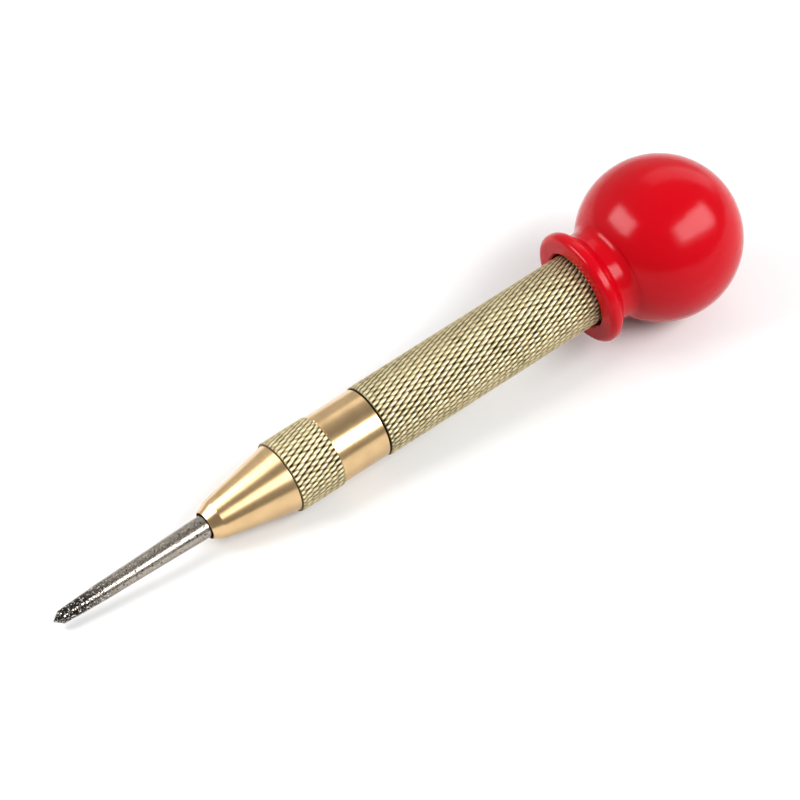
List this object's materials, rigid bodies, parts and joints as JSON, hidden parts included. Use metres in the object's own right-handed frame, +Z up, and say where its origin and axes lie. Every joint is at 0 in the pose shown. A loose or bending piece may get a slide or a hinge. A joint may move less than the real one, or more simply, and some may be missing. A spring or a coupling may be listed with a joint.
{
  "type": "automatic center punch",
  "caption": "Spring-loaded center punch: tapered steel tip, brass nose with a knurled collar, knurled brass barrel with a hammer inside, and a red ball handle that sets the force.",
  "frame": {"origin": "on the surface that the tool lies on, under the middle of its box", "axes": "+X level along the tool, from the tip towards the ball; +Z up; the tool's own axis climbs 5.65 degrees from +X"},
  "size_m": [0.137, 0.0284, 0.0284],
  "materials": {
    "punch_steel": "dull plated steel with a bare, ground point",
    "brass": "bright turned brass",
    "pin_steel": "turned steel",
    "hammer_steel": "dark oiled steel",
    "spring_steel": "drawn spring wire",
    "red_plastic": "glossy moulded plastic"
  },
  "bodies": {
    "barrel": {"barrel": "brass", "nose_sleeve": "brass", "return_spring": "spring_steel"},
    "punch": {"punch_tip": "punch_steel"},
    "trip_pin": {"trip_pin": "pin_steel"},
    "hammer": {"hammer": "hammer_steel"},
    "main_spring": {"main_spring": "spring_steel"},
    "cap": {"adjusting_screw": "brass", "ball_handle": "red_plastic"}
  },
  "joints": [
    {"name": "punch_slide", "type": "slide", "parent": "barrel", "child": "punch", "axis": [0.9951, 0, 0.0984], "range_m": [0, 0.009], "stiffness_N_per_m": 490, "springref_m": -0.003, "deforming": ["return_spring"]},
    {"name": "trip_pin_tilt", "type": "hinge", "parent": "punch", "child": "trip_pin", "pos_m": [-0.02673, 0, 0.00616], "axis": [0, 1, 0], "range_deg": [0, 3.6]},
    {"name": "hammer_slide", "type": "slide", "parent": "barrel", "child": "hammer", "axis": [0.9951, 0, 0.0984], "range_m": [0, 0.009], "stiffness_N_per_m": 11000, "springref_m": -0.002, "deforming": ["main_spring"]},
    {"name": "cap_feed", "type": "slide", "parent": "barrel", "child": "main_spring", "axis": [0.9951, 0, 0.0984], "range_m": [0, 0.006]},
    {"name": "cap_turn", "type": "hinge", "parent": "main_spring", "child": "cap", "pos_m": [0.04094, 0, 0.01285], "axis": [0.9951, 0, 0.0984], "range_deg": [0, 2160]}
  ],
  "couplings": [
    {"joint": "hammer_slide", "follows": "punch_slide", "ratio": 1},
    {"joint": "trip_pin_tilt", "follows": "punch_slide", "rad_per_m": 6.949},
    {"joint": "cap_turn", "follows": "cap_feed", "rad_per_m": 6283.2}
  ]
}
